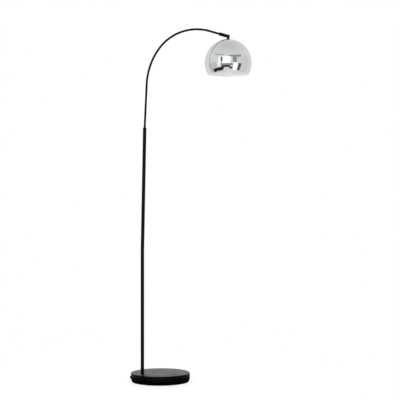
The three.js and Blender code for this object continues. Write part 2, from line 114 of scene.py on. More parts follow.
def apply_modifiers(obj):
    depsgraph = bpy.context.evaluated_depsgraph_get()
    obj.data = bpy.data.meshes.new_from_object(obj.evaluated_get(depsgraph))
    obj.modifiers.clear()


def combine(obj, operation, others):
    """Cuts the others out of obj or joins them to it, one at a time, and welds the seams after each."""
    for other in others:
        modifier = obj.modifiers.new("combine", "BOOLEAN")
        modifier.operation = operation
        modifier.solver = "EXACT"
        modifier.object = other
        apply_modifiers(obj)
        bpy.data.objects.remove(other)
        weld(obj)


def cut(obj, *cutters):
    """Cuts the cutters out of obj."""
    combine(obj, "DIFFERENCE", cutters)
    tidy(obj)
    return obj


def join(obj, *others):
    """Joins closed meshes into obj as one solid."""
    combine(obj, "UNION", others)
    tidy(obj)
    return obj


def rounded(outline, radius, steps=4):
    """The outline with its corners rounded; ends on the axis stay as they are."""
    on_axis = outline[0][0] == 0 and outline[-1][0] == 0
    result = []
    for i, point in enumerate(outline):
        corner = Vector(point)
        if on_axis and i in (0, len(outline) - 1):
            result.append(corner)
            continue
        back = Vector(outline[i - 1]) - corner
        ahead = Vector(outline[(i + 1) % len(outline)]) - corner
        if pi - back.angle(ahead) < radians(12):
            result.append(corner)
            continue
        reach = min(radius, 0.45 * back.length, 0.45 * ahead.length)
        start = corner + back.normalized() * reach
        end = corner + ahead.normalized() * reach
        for k in range(steps + 1):
            t = k / steps
            result.append(start * (1 - t) ** 2 + corner * 2 * t * (1 - t) + end * t**2)
    return [(p[0], p[1]) for p in result]


def arc_points(radius, centre, start, end, steps, centre_radius=0.0):
    """Outline points on an arc, by angle from straight up, round a centre at (centre_radius, centre)."""
    angles = [start + (end - start) * i / steps for i in range(steps + 1)]
    points = [(centre_radius + radius * sin(a), centre + radius * cos(a)) for a in angles]
    return [(0 if abs(r) < 1e-6 else r, z) for r, z in points]


def lathe(name, outline, place=None, segments=96, sharp=38, radius_at=None):
    """A solid of revolution about Z from (radius, height) points that close on the axis or on themselves."""
    on_axis = outline[0][0] == 0 and outline[-1][0] == 0
    vertices, rings = [], []
    for radius, height in outline:
        first = len(vertices)
        if radius == 0:
            vertices.append((0, 0, height))
            rings.append([first])
            continue
        for i in range(segments):
            angle = 2 * pi * i / segments
            r = radius_at(radius, height, angle) if radius_at else radius
            vertices.append((r * cos(angle), r * sin(angle), height))
        rings.append(list(range(first, first + segments)))
    pairs = list(zip(rings, rings[1:]))
    if not on_axis:
        pairs.append((rings[-1], rings[0]))
    faces = []
    for low, high in pairs:
        for i in range(segments):
            k = (i + 1) % segments
            if len(low) == 1 and len(high) == 1:
                break
            if len(low) == 1:
                faces.append((low[0], high[i], high[k]))
            elif len(high) == 1:
                faces.append((low[i], low[k], high[0]))
            else:
                faces.append((low[i], low[k], high[k], high[i]))
    return new_object(name, vertices, faces, place, sharp)


def rod(name, radius, bottom, top, place=None, edge=0.0, segments=48, bore=0.0):
    """A round rod, or a tube where bore is over 0, with its ends' edges rounded."""
    if bore:
        outline = [(bore, bottom), (radius, bottom), (radius, top), (bore, top)]
    else:
        outline = [(0, bottom), (radius, bottom), (radius, top), (0, top)]
    return lathe(name, rounded(outline, edge) if edge else outline, place, segments)


def slab(name, low, high, place=None):
    """A box between two corners, used as a cutter."""
    corners = [(x, y, z) for x in (low[0], high[0]) for y in (low[1], high[1]) for z in (low[2], high[2])]
    faces = [(0, 1, 3, 2), (4, 6, 7, 5), (0, 4, 5, 1), (2, 3, 7, 6), (0, 2, 6, 4), (1, 5, 7, 3)]
    return new_object(name, corners, faces, place)


def hex_prism(name, across_flats, bottom, top, place=None, chamfer=0.8):
    """A hexagonal nut blank with its corners turned off at both ends."""
    corner = across_flats / sqrt(3)
    flats = 6

    def radius_at(radius, height, angle):
        within = (angle % (2 * pi / flats)) - pi / flats
        return min(radius, across_flats / 2 / cos(within))

    outline = [
        (0, bottom),
        (corner - chamfer, bottom),
        (corner, bottom + chamfer / 2),
        (corner, top - chamfer / 2),
        (corner - chamfer, top),
        (0, top),
    ]
    return lathe(name, outline, place, segments=72, sharp=20, radius_at=radius_at)


def sweep(name, points, headings, radius, sides=32, bore=0.0):
    """A rod or tube along points in the XZ plane; a heading is an angle from straight up, towards +X."""
    vertices, faces = [], []

    def ring_at(point, heading, r):
        across = Vector((cos(heading), 0, -sin(heading)))
        first = len(vertices)
        for i in range(sides):
            angle = 2 * pi * i / sides
            vertices.append(point + across * (r * cos(angle)) + Vector((0, r * sin(angle), 0)))
        return list(range(first, first + sides))

    def skin(a, b):
        faces.extend((a[i], a[(i + 1) % sides], b[(i + 1) % sides], b[i]) for i in range(sides))

    outer = [ring_at(p, h, radius) for p, h in zip(points, headings)]
    for a, b in zip(outer, outer[1:]):
        skin(a, b)
    if bore:
        inner = [ring_at(p, h, bore) for p, h in zip(points, headings)]
        for a, b in zip(inner, inner[1:]):
            skin(b, a)
        skin(inner[0], outer[0])
        skin(outer[-1], inner[-1])
    else:
        faces.append(outer[0])
        faces.append(outer[-1])
    return new_object(name, vertices, faces)


def screw_with_slot(name, shank, length, head, head_height, place):
    """A pan-head screw, head down and shank up, with a cross recess."""
    outline = [
        (0, -head_height),
        (head * 0.55, -head_height),
        (head, -head_height * 0.45),
        (head, 0),
        (shank, 0),
        (shank, length - 0.4),
        (shank - 0.4, length),
        (0, length),
    ]
    made = lathe(name, rounded(outline, 0.35), place, segments=48)
    depth = head_height * 0.55
    arm, width = head * 0.55, head * 0.13
    bottom = -head_height - 0.2
    bars = [
        slab("bar", (-arm, -width, bottom), (arm, width, bottom + depth), place),
        slab("bar", (-width, -arm, bottom), (width, arm, bottom + depth), place),
    ]
    return cut(made, *bars)


# ---------------------------------------------------------------- finishes


class Finish:
    """A material on the Principled shader, with helpers for its procedural detail."""

    def __init__(self, name, color, roughness, metallic=0.0, specular=0.5):
        self.material = bpy.data.materials.new(name)
        self.material.use_nodes = True
        self.tree = self.material.node_tree
        self.shader = self.tree.nodes["Principled BSDF"]
        self.set("Base Color", (*color, 1))
        self.set("Roughness", roughness)
        self.set("Metallic", metallic)
        self.set("Specular IOR Level", specular)
        self.coordinates = self.tree.nodes.new("ShaderNodeTexCoord").outputs["Object"]
        self.relief = None

    def set(self, socket, value):
        self.shader.inputs[socket].default_value = value

    def link(self, source, target):
        self.tree.links.new(source, target)

    def noise(self, scale, detail=2.0, stretch=(1, 1, 1), roughness=0.5):
        """A noise pattern from 0 to 1; scale is in features per metre, before the stretch."""
        mapping = self.tree.nodes.new("ShaderNodeMapping")
        mapping.inputs["Scale"].default_value = stretch
        self.link(self.coordinates, mapping.inputs["Vector"])
        made = self.tree.nodes.new("ShaderNodeTexNoise")
        made.inputs["Scale"].default_value = scale
        made.inputs["Detail"].default_value = detail
        made.inputs["Roughness"].default_value = roughness
        self.link(mapping.outputs["Vector"], made.inputs["Vector"])
        return made.outputs["Fac"]

    def cells(self, scale):
        """Smooth round cells, as in the ripple of sprayed paint."""
        made = self.tree.nodes.new("ShaderNodeTexVoronoi")
        made.feature = "SMOOTH_F1"
        made.inputs["Scale"].default_value = scale
        made.inputs["Smoothness"].default_value = 1.0
        self.link(self.coordinates, made.inputs["Vector"])
        return made.outputs["Distance"]

    def spread(self, pattern, low, high, start=0.35, end=0.65):
        """The pattern's middle range stretched to the values low to high."""
        made = self.tree.nodes.new("ShaderNodeMapRange")
        made.inputs["From Min"].default_value = start
        made.inputs["From Max"].default_value = end
        made.inputs["To Min"].default_value = low
        made.inputs["To Max"].default_value = high
        self.link(pattern, made.inputs["Value"])
        return made.outputs["Result"]

    def vary_roughness(self, pattern, low, high):
        self.link(self.spread(pattern, low, high), self.shader.inputs["Roughness"])
        return self

    def vary_color(self, pattern, first, second, start=0.35, end=0.65):
        made = self.tree.nodes.new("ShaderNodeMix")
        made.data_type = "RGBA"
        self.link(self.spread(pattern, 0, 1, start, end), made.inputs["Factor"])
        color_a, color_b = [s for s in made.inputs if s.type == "RGBA"]
        color_a.default_value = (*first, 1)
        color_b.default_value = (*second, 1)
        result = [s for s in made.outputs if s.type == "RGBA"][0]
        self.link(result, self.shader.inputs["Base Color"])
        return self

    def bump(self, pattern, height, strength=1.0):
        """Adds relief of that height, in millimetres, on top of any there is."""
        made = self.tree.nodes.new("ShaderNodeBump")
        made.inputs["Strength"].default_value = strength
        made.inputs["Distance"].default_value = height * MM
        self.link(pattern, made.inputs["Height"])
        if self.relief is not None:
            self.link(self.relief, made.inputs["Normal"])
        self.relief = made.outputs["Normal"]
        self.link(self.relief, self.shader.inputs["Normal"])
        return self


def powder_coat(name, specular, roughness):
    """Satin black powder coat: a fine ripple over a slow wave, with a faint change of gloss."""
    paint = Finish(name, (0.0012, 0.0012, 0.0013), roughness, specular=specular)
    paint.vary_roughness(paint.noise(60, 3), roughness - 0.04, roughness + 0.05)
    paint.vary_color(paint.noise(900, 2), (0.0008, 0.0008, 0.0009), (0.0018, 0.0018, 0.002))
    paint.bump(paint.cells(900), 0.012)
    paint.bump(paint.noise(2600, 2), 0.004)
    return paint.material


def polished_chrome():
    """Plated steel: a mirror with the faintest haze and rings left by spinning."""
    plate = Finish("polished_chrome", (0.635, 0.652, 0.664), 0.03, metallic=1.0)
    plate.set("Specular Tint", (0.9, 0.9, 0.9, 1))
    plate.vary_roughness(plate.noise(45, 4), 0.015, 0.05)
    plate.bump(plate.noise(700, 2, stretch=(0.02, 0.02, 1)), 0.0004)
    return plate.material


def white_enamel():
    """Stove enamel inside the shade: soft white with orange peel."""
    paint = Finish("white_enamel", (0.90, 0.90, 0.90), 0.45)
    paint.vary_color(paint.noise(30, 3), (0.89, 0.89, 0.89), (0.915, 0.915, 0.915))
    paint.vary_roughness(paint.noise(120, 2), 0.4, 0.52)
    paint.bump(paint.cells(650), 0.02)
    return paint.material


def moulded_rubber():
    pad = Finish("moulded_rubber", (0.012, 0.012, 0.012), 0.8, specular=0.25)
    pad.vary_color(pad.noise(220, 4), (0.008, 0.008, 0.008), (0.022, 0.022, 0.021))
    pad.vary_roughness(pad.noise(400, 3), 0.7, 0.92)
    pad.bump(pad.noise(2200, 3), 0.03)
    return pad.material


def zinc_steel():
    """Bright zinc plate with fine turning marks."""
    steel = Finish("zinc_steel", (0.52, 0.53, 0.55), 0.32, metallic=1.0)
    steel.vary_color(steel.noise(260, 3), (0.46, 0.47, 0.48), (0.58, 0.59, 0.60))
    steel.vary_roughness(steel.noise(500, 3, stretch=(1, 1, 4)), 0.24, 0.42)
    steel.bump(steel.noise(1800, 2, stretch=(1, 1, 5)), 0.006)
    return steel.material


def turned_brass():
    brass = Finish("turned_brass", (0.66, 0.46, 0.18), 0.28, metallic=1.0)
    brass.vary_color(brass.noise(300, 3), (0.55, 0.37, 0.14), (0.72, 0.52, 0.22))
    brass.vary_roughness(brass.noise(420, 3), 0.2, 0.38)
    brass.bump(brass.noise(1700, 2, stretch=(1, 1, 6)), 0.005)
    return brass.material


def moulded_black():
    """Black heat-proof plastic with a fine eroded texture from its mould."""
    plastic = Finish("moulded_black", (0.012, 0.012, 0.013), 0.42, specular=0.4)
    plastic.vary_roughness(plastic.noise(150, 3), 0.36, 0.5)
    plastic.vary_color(plastic.noise(700, 2), (0.010, 0.010, 0.011), (0.017, 0.017, 0.018))
    plastic.bump(plastic.noise(1900, 3), 0.012)
    return plastic.material


def moulded_white():
    plastic = Finish("moulded_white", (0.78, 0.78, 0.75), 0.35)
    plastic.vary_roughness(plastic.noise(200, 2), 0.3, 0.42)
    plastic.vary_color(plastic.noise(80, 2), (0.76, 0.76, 0.73), (0.80, 0.80, 0.775))
    plastic.bump(plastic.noise(1500, 2), 0.006)
    return plastic.material


def opal_globe():
    """Milky diffuser: light spreads a little under its satin skin."""
    opal = Finish("opal_globe", (0.88, 0.88, 0.86), 0.3)
    opal.set("Subsurface Weight", 0.35)
    opal.set("Subsurface Radius", (0.004, 0.004, 0.0035))
    opal.set("Subsurface Scale", 1.0)
    opal.vary_roughness(opal.noise(90, 3), 0.26, 0.36)
    opal.bump(opal.noise(1400, 2), 0.003)
    return opal.material


def steatite():
    body = Finish("steatite", (0.74, 0.71, 0.66), 0.5)
    body.vary_color(body.noise(900, 4), (0.66, 0.63, 0.57), (0.79, 0.77, 0.72))
    body.vary_roughness(body.noise(300, 3), 0.42, 0.6)
    body.bump(body.noise(1500, 3), 0.02)
    return body.material


def cast_cement():
    body = Finish("cast_cement", (0.30, 0.29, 0.27), 0.9, specular=0.2)
    body.vary_color(body.noise(130, 6, roughness=0.7), (0.20, 0.19, 0.18), (0.40, 0.39, 0.37))
    body.bump(body.noise(60, 5), 0.5)
    body.bump(body.noise(900, 4), 0.15)
    return body.material


def pvc(name, dark, light):
    """Extruded cable sheath, a little waxy, with faint lines along its length."""
    sheath = Finish(name, light, 0.48, specular=0.4)
    sheath.vary_color(sheath.noise(500, 2), dark, light)
    sheath.vary_roughness(sheath.noise(250, 3), 0.42, 0.56)
    sheath.bump(sheath.noise(2400, 2, stretch=(1, 1, 0.1)), 0.01)
    return sheath.material


def solder_mask():
    board = Finish("solder_mask", (0.76, 0.78, 0.76), 0.35)
    board.vary_color(board.noise(350, 2), (0.72, 0.74, 0.72), (0.80, 0.82, 0.80))
    board.bump(board.noise(1200, 2), 0.01)
    return board.material


pole_paint = powder_coat("black_powder_coat", specular=0.11, roughness=0.34)
base_paint = powder_coat("black_base_coat", specular=0.06, roughness=0.30)
enamel = white_enamel()
FINISHES = {
    "black_paint": pole_paint,
    "chrome": polished_chrome(),
    "cement": cast_cement(),
    "steel": zinc_steel(),
    "brass": turned_brass(),
    "rubber": moulded_rubber(),
    "black_plastic": moulded_black(),
    "white_plastic": moulded_white(),
    "opal_plastic": opal_globe(),
    "ceramic": steatite(),
    "cable": pvc("black_sheath", (0.006, 0.006, 0.006), (0.014, 0.014, 0.014)),
    "brown_core": pvc("brown_sheath", (0.09, 0.035, 0.015), (0.15, 0.06, 0.025)),
    "blue_core": pvc("blue_sheath", (0.015, 0.06, 0.25), (0.03, 0.10, 0.36)),
    "circuit_board": solder_mask(),
}
SLOT_OF = {part["node"]: part["material_slot"] for part in frame["record"]["subparts"]}
BODY_OF = {
    node: body
    for body, nodes in frame["record"]["behaviour"]["bodies"].items()
    for node in nodes
}


def dress(obj, node, material=None):
    """Gives a fine piece the finish of the CAD node it replaces, and that node's body to ride on."""
    slot_name = SLOT_OF[node]
    obj.data.materials.clear()
    obj.data.materials.append(material or FINISHES[slot_name])
    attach(obj, BODY_OF[node])
    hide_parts(node)
    return obj


for name, obj in frame["nodes"].items():
    obj.data.materials.clear()
    obj.data.materials.append(FINISHES[SLOT_OF[name]])

# ---------------------------------------------------------------- camera


CAMERA_HEIGHT = 768.6
CAMERA_DISTANCE = 4890
CAMERA_SIDE = 167.8
LENS_MM = 103.9

camera_data = bpy.data.cameras.new("camera")
camera_data.lens = LENS_MM
camera_data.sensor_width = 36
camera_data.clip_end = 100
camera = bpy.data.objects.new("camera", camera_data)
camera.location = Vector((CAMERA_SIDE, -CAMERA_DISTANCE, CAMERA_HEIGHT)) * MM
camera.rotation_euler = (pi / 2, 0, 0)
scene.collection.objects.link(camera)
scene.camera = camera

# ---------------------------------------------------------------- studio


class Room:
    """The studio round the lamp: a world shader painted by azimuth (0 towards -Y, + to +X) and elevation."""

    def __init__(self):
        world = bpy.data.worlds.new("studio")
        scene.world = world
        world.use_nodes = True
        self.tree = world.node_tree
        self.tree.nodes.clear()
        direction = self.tree.nodes.new("ShaderNodeTexCoord").outputs["Generated"]
        split = self.tree.nodes.new("ShaderNodeSeparateXYZ")
        self.tree.links.new(direction, split.inputs[0])
        x, y, z = split.outputs
        behind = self.math("MULTIPLY", y, -1.0)
        self.azimuth = self.math("DEGREES", self.math("ARCTAN2", x, behind))
        self.elevation = self.math("DEGREES", self.math("ARCSINE", z))
        self.light = None

    def math(self, operation, first, second=None):
        node = self.tree.nodes.new("ShaderNodeMath")
        node.operation = operation
        for socket, value in zip(node.inputs, (first, second)):
            if value is None:
                continue
            if isinstance(value, (int, float)):
                socket.default_value = value
            else:
                self.tree.links.new(value, socket)
        return node.outputs[0]

    def step(self, angle, start, end):
        """0 before start and 1 past end, smooth between."""
        node = self.tree.nodes.new("ShaderNodeMapRange")
        node.interpolation_type = "SMOOTHSTEP"
        node.inputs["From Min"].default_value = start
        node.inputs["From Max"].default_value = end
        self.tree.links.new(angle, node.inputs["Value"])
        return node.outputs["Result"]

    def span(self, angle, low, high, soft):
        rise = self.step(angle, low - soft, low + soft)
        fall = self.step(angle, high + soft, high - soft)
        return self.math("MULTIPLY", rise, fall)

    def paint(self, mask, color):
        """Lays a colour over what is there, where the mask is 1."""
        mix = self.tree.nodes.new("ShaderNodeMix")
        mix.data_type = "RGBA"
        color_a, color_b = [s for s in mix.inputs if s.type == "RGBA"]
        if mask is None:
            mix.inputs["Factor"].default_value = 1.0
        else:
            self.tree.links.new(mask, mix.inputs["Factor"])
        if self.light is not None:
            self.tree.links.new(self.light, color_a)
        color_b.default_value = (*color, 1) if isinstance(color, tuple) else (color, color, color, 1)
        self.light = [s for s in mix.outputs if s.type == "RGBA"][0]

    def patch(self, azimuths, elevations, color, soft=2.0):
        mask = self.math(
            "MULTIPLY",
            self.span(self.azimuth, *azimuths, soft),
            self.span(self.elevation, *elevations, soft),
        )
        self.paint(mask, color)

    def plain(self, strength):
        made = self.tree.nodes.new("ShaderNodeBackground")
        made.inputs["Color"].default_value = (strength, strength, strength, 1)
        return made.outputs[0]

    def finish(self, backdrop, soft_light):
        """Mirrors and gloss see the room; soft light and the backdrop behind the lamp are plain white."""
        nodes = self.tree.nodes
        room = nodes.new("ShaderNodeBackground")
        self.tree.links.new(self.light, room.inputs["Color"])
        path = nodes.new("ShaderNodeLightPath")
        surface = room.outputs[0]
        for ray, strength in (("Is Diffuse Ray", soft_light), ("Is Camera Ray", backdrop)):
            mix = nodes.new("ShaderNodeMixShader")
            self.tree.links.new(path.outputs[ray], mix.inputs["Fac"])
            self.tree.links.new(surface, mix.inputs[1])
            self.tree.links.new(self.plain(strength), mix.inputs[2])
            surface = mix.outputs[0]
        self.tree.links.new(surface, nodes.new("ShaderNodeOutputWorld").inputs["Surface"])


room = Room()
room.paint(None, 1.0)
room.paint(room.step(room.elevation, 30, 36), 0.93)  # ceiling
room.paint(room.step(room.elevation, 40, 80), 0.80)
room.patch((-112, -62), (-50, 2), 0.76, soft=8)  # dim side of the room
room.patch((62, 115), (-45, 24), 0.88, soft=8)
room.patch((-80, -26), (29.5, 35), 0.55)  # where wall and ceiling meet
room.patch((2, 72), (24.5, 31.5), 0.36)
room.patch((36, 62), (19, 25), 0.58)
room.patch((21, 42), (-2, 25), 0.38, soft=3)  # a lamp stand
room.patch((-51, -41), (-19, 23), 1.5)  # narrow window
room.patch((-28, 10), (-8, 25.5), 1.6, soft=3)  # wide window
room.patch((-38, -31), (3, 21), 0.04, soft=1.5)  # its frame
room.patch((-40, 21), (-19, -8), 0.42, soft=3)  # low furniture
room.patch((-17, 24), (-48, -28), 1.0)  # sheet on the floor
room.patch((-60, -36), (-41, -35), 0.16, soft=1.5)  # dark floor
room.patch((-92, -26), (-37, -24), 0.012, soft=3)
room.patch((-36, 8), (-27, -17), 0.03, soft=3)
room.patch((4, 22), (-34, -25), 0.03, soft=2)
room.patch((26, 44), (-39, -5), 2.0, soft=1.5)  # softbox
room.patch((50, 66), (-36, -5), (0.20, 0.11, 0.08), soft=1.5)  # wooden door
room.finish(backdrop=1.0, soft_light=0.25)

FLOOR_RADIUS = 900
BOARDS_RADIUS = 320  # what the base's gloss sees from the front; small in the ball's mirror
floor = lathe("floor", [(0, -1.0), (FLOOR_RADIUS, -1.0), (FLOOR_RADIUS, -0.05), (0, -0.05)], segments=128)
floor_material = Finish("studio_floor", (0.86, 0.86, 0.86), 0.6, specular=0.1)
floor_material.set("Emission Color", (1, 1, 1, 1))
floor_material.set("Emission Strength", 0.72)
floor.data.materials.append(floor_material.material)
floor.visible_glossy = False

# What the gloss of the base and the foot of the pole picks up: dark boards in place of the white floor.
boards = lathe("boards", [(0, -2.0), (BOARDS_RADIUS, -2.0), (BOARDS_RADIUS, -1.2), (0, -1.2)], segments=128)
boards_material = Finish("dark_boards", (0.004, 0.0035, 0.003), 0.8, specular=0.0)
boards_material.vary_color(boards_material.noise(9, 3), (0.003, 0.0025, 0.002), (0.006, 0.005, 0.004))
boards.data.materials.append(boards_material.material)
boards.visible_camera = False
boards.visible_diffuse = False
boards.visible_shadow = False

# A small soft light in the shade's mouth, which neither the camera nor the mirrors see.
FILL_ABOVE_RIM = 14
FILL_RADIUS = 12
FILL_WATTS = 0.106
rim_low, rim_high = box_mm("shade")
fill_data = bpy.data.lights.new("shade_fill", "POINT")
fill_data.shadow_soft_size = FILL_RADIUS * MM
fill_data.energy = FILL_WATTS
fill = bpy.data.objects.new("shade_fill", fill_data)
fill.location = Vector(((rim_low.x + rim_high.x) / 2, 0, rim_low.z + FILL_ABOVE_RIM)) * MM
fill.visible_camera = False
fill.visible_glossy = False
scene.collection.objects.link(fill)

scene.view_settings.view_transform = "Standard"
scene.view_settings.look = "None"

# ---------------------------------------------------------------- base

base_low, base_high = box_mm("base_cover")
BASE_RADIUS = (base_high.x - base_low.x) / 2
BASE_TOP = base_high.z
BASE_EDGE = base_low.z
SKIRT_TOP = 17.6
SKIRT_DRAW = 5.7
COVER_WALL = 1.5
ROUND_OVER = 2.5

lower_low, lower_high = box_mm("pole_lower_tube")
POLE_X = (lower_low.x + lower_high.x) / 2
POLE_RADIUS = (lower_high.x - lower_low.x) / 2
POLE_WALL = 1.0


def cover_outline(inset, corner):
    """One side of the cover's sheet, from the axis on top to the lower edge."""
    radius = BASE_RADIUS - inset
    shoulder = arc_points(corner, BASE_TOP - inset - corner, 0, pi / 2, 8, radius - corner)
    drop = SKIRT_TOP - BASE_EDGE
    skirt = [(radius - SKIRT_DRAW * (i / 8) ** 2, SKIRT_TOP - drop * i / 8) for i in range(9)]
    return [(0, BASE_TOP - inset), (radius * 0.5, BASE_TOP - inset), *shoulder, *skirt]


outside = cover_outline(0, ROUND_OVER)
inside = cover_outline(COVER_WALL, ROUND_OVER - 1.3)
cover = lathe("cover", outside + inside[::-1], segments=256)
stud_hole = rod("hole", 5.4, BASE_TOP - 6, BASE_TOP + 2, at(POLE_X, 0, 0))
GLAND_HEIGHT = 18
gland_hole = rod("hole", 4.8, -8, 8, at(-BASE_RADIUS, 0, GLAND_HEIGHT, turn_y(pi / 2)))
dress(cut(cover, stud_hole, gland_hole), "base_cover", base_paint)

plate_low, plate_high = box_mm("base_plate")
plate_radius = (plate_high.x - plate_low.x) / 2
plate = rod("plate", plate_radius, plate_low.z, plate_high.z, edge=0.3, segments=192)
SCREW_CIRCLE = 60
screw_places = [(SCREW_CIRCLE * cos(radians(a)), SCREW_CIRCLE * sin(radians(a))) for a in (90, 210, 330)]
holes = [rod("hole", 2.2, plate_low.z - 2, plate_high.z + 2, at(x, y, 0)) for x, y in screw_places]
dress(cut(plate, *holes), "base_plate")
for i, (x, y) in enumerate(screw_places, 1):
    low, high = box_mm(f"plate_screw_{i}")
    seat = plate_low.z - FINE
    shank = high.z - plate_low.z
    screw = screw_with_slot(f"screw_{i}", 1.9, shank, 3.8, seat - low.z, at(x, y, seat))
    dress(screw, f"plate_screw_{i}")

FOOT_OUTLINE = [(0, 0), (6.2, 0), (7, 0.9), (7, 1.8), (6.7, 2.2), (0, 2.2)]
for node in ["centre_foot"] + [f"foot_{i}" for i in range(1, 7)]:
    low, high = box_mm(node)
    middle = (low + high) / 2
    foot = lathe(node + "_pad", rounded(FOOT_OUTLINE, 0.4), at(middle.x, middle.y, low.z), segments=64)
    dress(foot, node)

# Cord inlet: a ribbed gland with its flange against the cover.
gland_outline = [
    (2.8, -14), (4.4, -14), (4.4, 0.1), (6.0, 0.1), (6.0, 1.7), (5.2, 2.0), (5.2, 2.5), (4.9, 2.8),
    (4.9, 3.2), (4.4, 4.0), (2.8, 4.0),
]
gland = lathe(
    "gland",
    rounded(gland_outline, 0.25),
    at(-BASE_RADIUS, 0, GLAND_HEIGHT, turn_y(-pi / 2)),
    segments=64,
)
dress(gland, "cable_gland")

# ---------------------------------------------------------------- pole

upper_low, upper_high = box_mm("pole_upper_tube")
SEAM = (lower_high.z + upper_low.z) / 2
POLE_LEAN = atan((upper_high.x - upper_low.x - 2 * POLE_RADIUS) / (upper_high.z - upper_low.z))
seam_place = at(POLE_X, 0, SEAM, turn_y(POLE_LEAN))
upper_length = (upper_high.z - SEAM) / cos(POLE_LEAN)

lower_tube = rod(
    "lower_tube", POLE_RADIUS, lower_low.z - 0.2, SEAM - 0.12, at(POLE_X, 0, 0),
    edge=0.35, segments=64, bore=POLE_RADIUS - POLE_WALL,
)
dress(lower_tube, "pole_lower_tube")
upper_tube = rod(
    "upper_tube", POLE_RADIUS, 0.12, upper_length, seam_place,
    edge=0.35, segments=64, bore=POLE_RADIUS - POLE_WALL,
)
GRUB_DEPTH = 12
grub_turn = Matrix.Rotation(-pi / 2, 4, "X")
grub_place = seam_place @ at(0, 0, upper_length - GRUB_DEPTH, grub_turn)
GRUB_HOLE = 1.75
dress(cut(upper_tube, rod("hole", GRUB_HOLE, 3, 10, grub_place)), "pole_upper_tube")

ARM_RADIUS = 4.5
ARM_PLUG = 30
collar_outline = [
    (ARM_RADIUS + 0.15, upper_length - ARM_PLUG),
    (POLE_RADIUS - POLE_WALL - 0.15, upper_length - ARM_PLUG),
    (POLE_RADIUS - POLE_WALL - 0.15, upper_length + 0.1),
    (POLE_RADIUS, upper_length + 0.1),
    (POLE_RADIUS, upper_length + 1.8),
    (ARM_RADIUS + 1.0, upper_length + 4),
    (ARM_RADIUS + 0.15, upper_length + 4),
]
collar = lathe("collar", rounded(collar_outline, 0.4), seam_place, segments=64)
dress(cut(collar, rod("hole", GRUB_HOLE, 3, 10, grub_place)), "pole_top_collar")


def grub(name, place, length):
    """A grub screw, its point at 0 and a hexagon socket in its outer end."""
    outline = [(0, 0), (1.0, 0), (1.5, 0.5), (1.5, length - 0.25), (1.25, length), (0, length)]
    made = lathe(name, rounded(outline, 0.12), place, segments=48)
    return cut(made, hex_prism("socket", 1.5, length - 1.2, length + 0.5, place, chamfer=0.01))


dress(grub("collar_grub", grub_place @ at(0, 0, ARM_RADIUS + 0.05), 2.6), "collar_grub_screw")

# ---------------------------------------------------------------- arm

# The arm as legs of constant curvature from the top of the pole, each (length, heading at its end).
ARM_FOOT = radians(2.68)
ARM_MIDDLE = radians(36.2)
ARM_END = radians(105.95)
ARM_IN_SLEEVE = 28
ARM_LEGS = [
    (ARM_PLUG, POLE_LEAN),
    (24, ARM_FOOT),
    (164.5, ARM_FOOT),
    (277.9 * (ARM_MIDDLE - ARM_FOOT), ARM_MIDDLE),
    (197 * (ARM_END - ARM_MIDDLE), ARM_END),
    (42.2, ARM_END),
    (ARM_IN_SLEEVE, ARM_END),
]
ARM_STEP = 3.0

pole_top = seam_place @ Vector((0, 0, upper_length))
position = pole_top - Vector((sin(POLE_LEAN), 0, cos(POLE_LEAN))) * ARM_PLUG
heading = POLE_LEAN
arm_points, arm_headings = [position.copy()], [heading]
for length, end_heading in ARM_LEGS:
    steps = max(2, round(length / ARM_STEP))
    start_heading = heading
    for i in range(steps):
        middle = start_heading + (end_heading - start_heading) * (i + 0.5) / steps
        position = position + Vector((sin(middle), 0, cos(middle))) * (length / steps)
        heading = start_heading + (end_heading - start_heading) * (i + 1) / steps
        arm_points.append(position.copy())
        arm_headings.append(heading)
arm = sweep("arm", arm_points, arm_headings, ARM_RADIUS, sides=40, bore=ARM_RADIUS - 1)
dress(arm, "arc_tube")

# ---------------------------------------------------------------- knuckle

pivot = Vector(frame["joints"][0]["pos_m"]) / MM
knuckle_place = at(*pivot, turn_y(ARM_END))  # its Z runs along the sleeve, and +X is the underside
SLEEVE_RADIUS = 7.25
SLEEVE_START = -39.7
SLEEVE_END = 6.1
FORK_INSIDE = 4.3
FORK_ROOF = 5.4
FORK_DEPTH = 8
PIVOT_HOLE = 1.8
HEAD_BORE = 3.0
SCREW_FLOOR = 5.3
ARM_BORE = ARM_RADIUS + 0.2
ARM_BORE_LENGTH = 29
LEAD_BORE = 2.6
OUTSIDE = 12  # past the sleeve's outside, for cutters

sleeve_outline = [
    (0, SLEEVE_START),
    (SLEEVE_RADIUS - 1.4, SLEEVE_START),
    (SLEEVE_RADIUS, SLEEVE_START + 1.4),
    (SLEEVE_RADIUS, SLEEVE_END - 2),
    (SLEEVE_RADIUS - 2, SLEEVE_END),
    (0, SLEEVE_END),
]
sleeve = lathe("sleeve", rounded(sleeve_outline, 0.5), segments=96)
across = Matrix.Rotation(-pi / 2, 4, "X")
grub_in_sleeve = at(0, 0, SLEEVE_START + 14, turn_y(pi / 2))
cut(
    sleeve,
    rod("hole", ARM_BORE, SLEEVE_START - 1, SLEEVE_START + ARM_BORE_LENGTH),
    rod("hole", LEAD_BORE, SLEEVE_START + 20, 0),
    slab("hole", (-FORK_ROOF, -FORK_INSIDE, -FORK_DEPTH), (OUTSIDE, FORK_INSIDE, OUTSIDE)),
    rod("hole", PIVOT_HOLE, -OUTSIDE, OUTSIDE, across),
    rod("hole", HEAD_BORE, SCREW_FLOOR, OUTSIDE, across),
    rod("hole", HEAD_BORE, -OUTSIDE, -SCREW_FLOOR, across),
    rod("hole", GRUB_HOLE, 0, 10, grub_in_sleeve),
)
move(sleeve, knuckle_place)
sleeve_grub_place = knuckle_place @ grub_in_sleeve
dress(sleeve, "knuckle_sleeve")
dress(grub("sleeve_grub", sleeve_grub_place @ at(0, 0, ARM_RADIUS + 0.05), 2.5), "sleeve_grub_screw")

